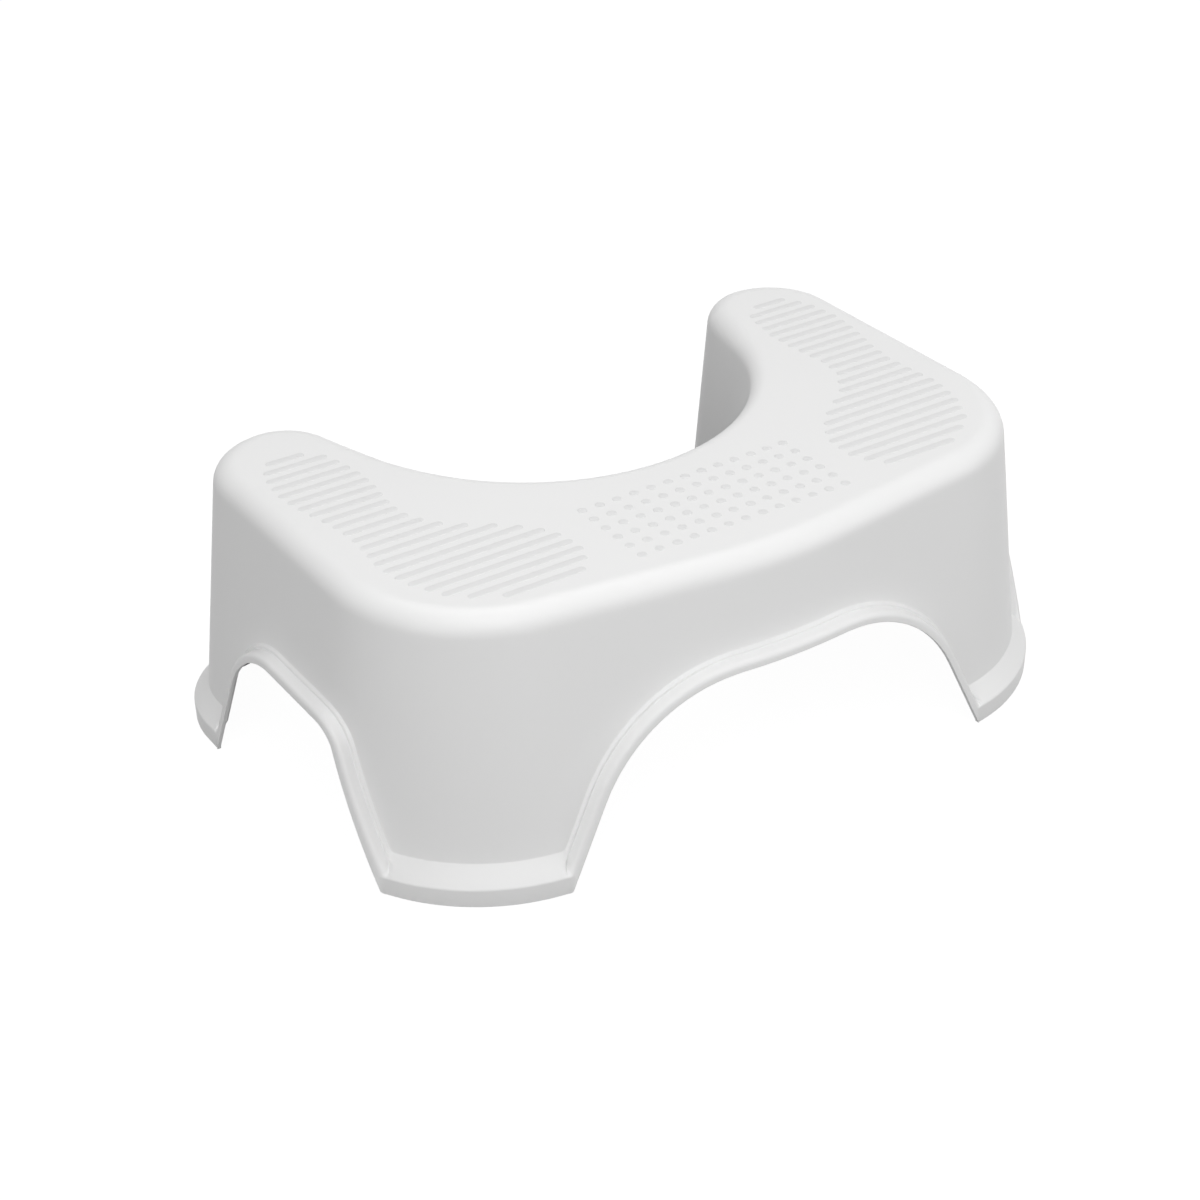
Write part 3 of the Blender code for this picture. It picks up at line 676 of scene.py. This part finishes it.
def add_ribs(material):
    """The ribs under the deck round the dotted tread: two from wall to wall, and two between these."""
    section = rib_section()
    thick, height = section.T
    low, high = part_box("centre_dot_tread")
    dot_front, dot_back = low.y - STAND_Y, high.y - STAND_Y
    side_x = (high.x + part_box("right_foot_tread")[1].x - TREAD_WIDTH) / 2
    horn_tip = OUTLINE.starts[int(np.argmax(OUTLINE.y))]
    front_y = wall_y(side_x, height, 0.0, FRONT_END)
    back_y = wall_y(side_x, height, horn_tip + HORN_INNER_RADIUS, OUTLINE.length)
    loops = []
    for side in (-1, 1):
        x = side * side_x + thick
        loops.append([np.stack([x, y, height], axis=1) for y in (front_y, back_y)])
    cross_front = (dot_front + OUTLINE.y[0] + DECK_EDGE_RADIUS) / 2
    cross_back = (dot_back + RECESS_Y - DECK_EDGE_RADIUS) / 2
    for y in (cross_front, cross_back):
        ends = (np.full(len(thick), -side_x), np.full(len(thick), side_x))
        loops.append([np.stack([x, y + thick, height], axis=1) for x in ends])
    points = np.array(loops)
    index = np.arange(points.size // 3).reshape(points.shape[:3])
    faces = grid_faces(index) + index[:, 0].tolist() + index[:, 1, ::-1].tolist()
    return add_piece("deck_ribs", points, faces, material, ["stool_shell"])


def bars(listed, radius, sides):
    """Strips or dots that stand up through the deck with a low dome for a top: its rise over its edge is the
    square root of one minus the square of the share of the radius."""
    base = (CARRIER_BOTTOM + CARRIER_TOP) / 2
    share = np.cos(np.linspace(0.0, math.pi / 2, DOME_STEPS + 1)[:-1])
    edge = DECK_HEIGHT + TREAD_EDGE_RISE
    growth = np.append(0.0, radius * (share - 1))
    height = np.append(base, edge + (DECK_HEIGHT + TREAD_RISE - edge) * np.sqrt(1 - share**2))
    rings = [capsules(listed, step, radius, sides) for step in growth]
    points = np.stack(rings, axis=1)
    level = np.broadcast_to(height.reshape(1, -1, 1, 1), (*points.shape[:3], 1))
    points = np.concatenate([points, level], axis=-1)
    index = np.arange(points.size // 3).reshape(points.shape[:3])
    faces = grid_faces(index) + index[:, -1].tolist() + index[:, 0, ::-1].tolist()
    return points.reshape(-1, 3), faces


def carrier(loop):
    """A plate under the deck with a flat outline: its rim, and both faces filled in."""
    count = len(loop)
    triangles = np.array(tessellate_polygon([loop.tolist()]))
    heights = np.repeat((CARRIER_BOTTOM, CARRIER_TOP), count)
    points = np.column_stack([np.tile(loop, (2, 1)), heights])
    index = np.arange(2 * count).reshape(2, count)
    faces = grid_faces(index) + index[0][triangles[:, ::-1]].tolist() + index[1][triangles].tolist()
    return points, faces


def add_tread(name, pattern, loop, node, material):
    """A tread: its strips or dots, from their list, radius and sides, and the plate that carries them."""
    points, faces = bars(*pattern)
    plate_points, plate_faces = carrier(loop)
    all_points = np.concatenate([points, plate_points])
    shifted = [[corner + len(points) for corner in face] for face in plate_faces]
    return add_piece(name, all_points, faces + shifted, material, [node])


def strip_carrier(listed):
    """Outline of a footprint's plate: along the ends of the strips, a little inside them."""
    y, low, high = listed.T
    overhang = np.zeros(len(y))
    overhang[[0, -1]] = (CARRIER_INSET - STRIP_WIDTH / 2, STRIP_WIDTH / 2 - CARRIER_INSET)
    y = y + overhang
    right = np.stack([high - CARRIER_INSET, y], axis=1)
    left = np.stack([low + CARRIER_INSET, y], axis=1)
    return np.concatenate([right, left[::-1]])


def dot_carrier():
    """Outline of the dots' plate: a rectangle a little inside their outer edges."""
    overhang = DOT_DIAMETER / 2 - CARRIER_INSET
    low_x, high_x = DOTS[:, 1].min() + CARRIER_INSET, DOTS[:, 2].max() - CARRIER_INSET
    low_y, high_y = DOTS[:, 0].min() - overhang, DOTS[:, 0].max() + overhang
    return np.array([(low_x, low_y), (high_x, low_y), (high_x, high_y), (low_x, high_y)])


def add_pad(name, middle, side, material):
    """A rubber wedge behind a foot's lip and under its ledge, carried along the outline.

    It swells from a share of its section at an end to the whole of it, along a quarter of an ellipse.
    """
    slope = (FOOT_RIM_HEIGHT - FOOT_LIP_HEIGHT) / RIM_REACH
    outer = RIM_REACH - WALL - CLEARANCE
    inner = outer - PAD_WIDTH
    drop = (WALL + CLEARANCE) * math.hypot(1.0, slope)
    outer_top = FOOT_LIP_HEIGHT + slope * (RIM_REACH - outer) - drop
    inner_top = FOOT_LIP_HEIGHT + slope * (RIM_REACH - inner) - drop
    seam = ((outer + inner) / 2, 0.0)
    corners = (seam, (outer, 0.0), (outer, outer_top), (inner, inner_top), (inner, 0.0), seam)
    section = eased(corners, (PAD_CUT,) * 4)[:-1]
    centre = section.mean(axis=0)
    run = np.linspace(-PAD_LENGTH / 2, PAD_LENGTH / 2, PAD_STEPS + 1)
    to_end = np.minimum((PAD_LENGTH / 2 - np.abs(run)) / PAD_END_RADIUS, 1.0)
    swell = PAD_END_SHARE + (1 - PAD_END_SHARE) * np.sqrt(1 - (1 - to_end) ** 2)
    proud = centre[0] + column(section[:, 0] - centre[0]) * swell
    height = centre[1] + column(section[:, 1] - centre[1]) * swell
    points = on_wall(np.broadcast_to(middle + run, proud.shape), height, proud) * (side, 1, 1)
    index = np.arange(proud.size).reshape(proud.shape).T
    faces = grid_faces(index) + [index[0, ::-1].tolist(), index[-1].tolist()]
    return add_piece(name + "_rubber", points, faces, material, [name])


def foot_middles():
    """The middle of the front foot and of the horn foot, as distances along the outline."""
    front = (FRONT_ARCH[0] + SIDE_ARCH_MIDDLE - SIDE_ARCH_FRONT[0]) / 2
    horn = (SIDE_ARCH_MIDDLE + SIDE_ARCH_REAR[0] + OUTLINE.length - RECESS_ARCH[0]) / 2
    return front, horn


class Amount:
    """A number, colour or vector in a shader. Sums on a number add the Math nodes that work them out."""

    def __init__(self, shader, socket):
        self.shader = shader
        self.socket = socket

    def math(self, operation, first, second):
        """The result of a Math node on two values."""
        return self.shader.node("Math", {"operation": operation}, {0: first, 1: second})

    def __add__(self, other):
        return self.math("ADD", self, other)

    def __sub__(self, other):
        return self.math("SUBTRACT", self, other)

    def __rsub__(self, other):
        return self.math("SUBTRACT", other, self)

    def __mul__(self, other):
        return self.math("MULTIPLY", self, other)

    __radd__ = __add__
    __rmul__ = __mul__


class Shader:
    """A node tree in the making."""

    def __init__(self, tree):
        self.tree = tree
        tree.nodes.clear()

    def node(self, kind, settings=None, inputs=None, output=0):
        """Adds a node by its type, its settings, and the values or links of its sockets. Gives an output."""
        made = self.tree.nodes.new("ShaderNode" + kind)
        for name, value in (settings or {}).items():
            setattr(made, name, value)
        for key, value in (inputs or {}).items():
            if isinstance(value, Amount):
                self.tree.links.new(value.socket, made.inputs[key])
            else:
                made.inputs[key].default_value = value
        return Amount(self, made.outputs[output]) if len(made.outputs) else None

    def noise(self, size, detail):
        """Soft noise in the piece's own place, whose features are about as large as a size."""
        place = self.node("TexCoord", output="Object")
        return self.node("TexNoise", None, {"Vector": place, "Scale": 1 / size, "Detail": detail})

    def mix(self, share, first, second):
        """A colour between two colours."""
        inputs = {MIX_SHARE: share, MIX_FIRST: (*first, 1.0), MIX_SECOND: (*second, 1.0)}
        return self.node("Mix", {"data_type": "RGBA"}, inputs, MIX_RESULT)


def new_material(name):
    """A material with an empty node tree, and that tree."""
    material = bpy.data.materials.new(name)
    material.use_nodes = True
    return material, Shader(material.node_tree)


def plastic(name, deep, pale, roughness, grain_depth):
    """A moulded plastic: faint clouds of colour and roughness, and the fine grain that the mould leaves."""
    material, shader = new_material(name)
    cloud = shader.noise(CLOUD_SIZE, CLOUD_DETAIL)
    grain = shader.noise(GRAIN_SIZE, GRAIN_DETAIL)
    normal = shader.node("Bump", None, {"Distance": grain_depth, "Height": grain})
    surface = shader.node(
        "BsdfPrincipled",
        None,
        {
            "Base Color": shader.mix(cloud, deep, pale),
            "Roughness": roughness + ROUGHNESS_SPREAD * (cloud - NOISE_MIDDLE),
            "Specular IOR Level": PLASTIC_SPECULAR,
            "Normal": normal,
        },
    )
    shader.node("OutputMaterial", None, {"Surface": surface})
    return material


def seen_directly(shader):
    """One for rays from the camera, from a gloss or through glass, and nought for the light they gather."""
    camera = shader.node("LightPath", output="Is Camera Ray")
    glossy = shader.node("LightPath", output="Is Glossy Ray")
    through = shader.node("LightPath", output="Is Transmission Ray")
    return camera + glossy + through


def floor_finish():
    """A floor that is seen white with a faint shadow, and throws less light back at the stool than white
    would: a glow and a little diffuse light where it is seen, a matt grey where it lights the stool."""
    material, shader = new_material("white_floor")
    glow = shader.node("Emission", None, {"Strength": FLOOR_GLOW})
    shade = shader.node("BsdfDiffuse", None, {"Color": FLOOR_SEEN})
    white = shader.node("AddShader", None, {0: glow, 1: shade})
    grey = shader.node("BsdfDiffuse", None, {"Color": FLOOR_BOUNCE})
    surface = shader.node("MixShader", None, {0: seen_directly(shader), 1: grey, 2: white})
    shader.node("OutputMaterial", None, {"Surface": surface})
    return material


def around(azimuth, elevation):
    """Direction from the stool to a place at an azimuth from -Y towards +X, and an elevation."""
    level = math.cos(elevation)
    return Vector((math.sin(azimuth) * level, -math.cos(azimuth) * level, math.sin(elevation)))


def add_lamp(name, azimuth, elevation, power):
    """A square soft box that looks at the stool."""
    lamp = bpy.data.lights.new(name, "AREA")
    lamp.size = LAMP_SIZE
    lamp.energy = power
    placed = bpy.data.objects.new(name, lamp)
    direction = around(azimuth, elevation)
    placed.location = direction * LAMP_DISTANCE
    placed.rotation_euler = (-direction).to_track_quat("-Z", "Y").to_euler()
    bpy.context.scene.collection.objects.link(placed)


def add_studio():
    """Floor, lamps and a world that lights the stool evenly and looks white behind it."""
    half = FLOOR_SIZE / 2
    corners = [(-half, -half, 0.0), (half, -half, 0.0), (half, half, 0.0), (-half, half, 0.0)]
    mesh = bpy.data.meshes.new("floor")
    mesh.from_pydata(corners, [], [(0, 1, 2, 3)])
    mesh.materials.append(floor_finish())
    floor = bpy.data.objects.new("floor", mesh)
    bpy.context.scene.collection.objects.link(floor)
    for lamp in LAMPS:
        add_lamp(*lamp)
    world = bpy.data.worlds.new("studio")
    world.use_nodes = True
    bpy.context.scene.world = world
    shader = Shader(world.node_tree)
    strength = AMBIENT + (1 - AMBIENT) * seen_directly(shader)
    back = shader.node("Background", None, {"Color": WHITE, "Strength": strength})
    shader.node("OutputWorld", None, {"Surface": back})


def add_camera():
    """The camera at the photograph's viewing angle, looking down at the stool and rolled a little."""
    lens = bpy.data.cameras.new("camera")
    lens.lens = CAMERA_LENS
    lens.sensor_width = CAMERA_SENSOR
    camera = bpy.data.objects.new("camera", lens)
    direction = around(-CAMERA_AZIMUTH, CAMERA_ELEVATION)
    camera.location = Vector(CAMERA_TARGET) + direction * CAMERA_DISTANCE
    camera.rotation_mode = "QUATERNION"
    camera.rotation_quaternion = (-direction).to_track_quat("-Z", "Y") @ Quaternion((0, 0, 1), CAMERA_ROLL)
    bpy.context.scene.collection.objects.link(camera)
    bpy.context.scene.camera = camera


shell_plastic = plastic("moulded_white_plastic", SHELL_DEEP, SHELL_PALE, SHELL_ROUGHNESS, GRAIN_DEPTH)
tread_plastic = plastic("soft_tread_plastic", TREAD_DEEP, TREAD_PALE, TREAD_ROUGHNESS, GRAIN_DEPTH)
pad_rubber = plastic("grey_rubber", PAD_DEEP, PAD_PALE, PAD_ROUGHNESS, GRAIN_DEPTH)

add_shell(shell_plastic)
add_ribs(shell_plastic)
for word, listed in (("left", LEFT_STRIPS), ("right", RIGHT_STRIPS)):
    pattern = (listed, STRIP_WIDTH / 2, STRIP_SIDES)
    add_tread(word + "_tread_strips", pattern, strip_carrier(listed), word + "_foot_tread", tread_plastic)
dot_pattern = (DOTS, DOT_DIAMETER / 2, DOT_SIDES)
add_tread("centre_tread_dots", dot_pattern, dot_carrier(), "centre_dot_tread", tread_plastic)
for place, middle in zip(("front", "rear"), foot_middles()):
    for word, side in (("left", -1), ("right", 1)):
        add_pad(f"{place}_{word}_foot_pad", middle, side, pad_rubber)

add_studio()
add_camera()
bpy.context.scene.view_settings.view_transform = "Standard"
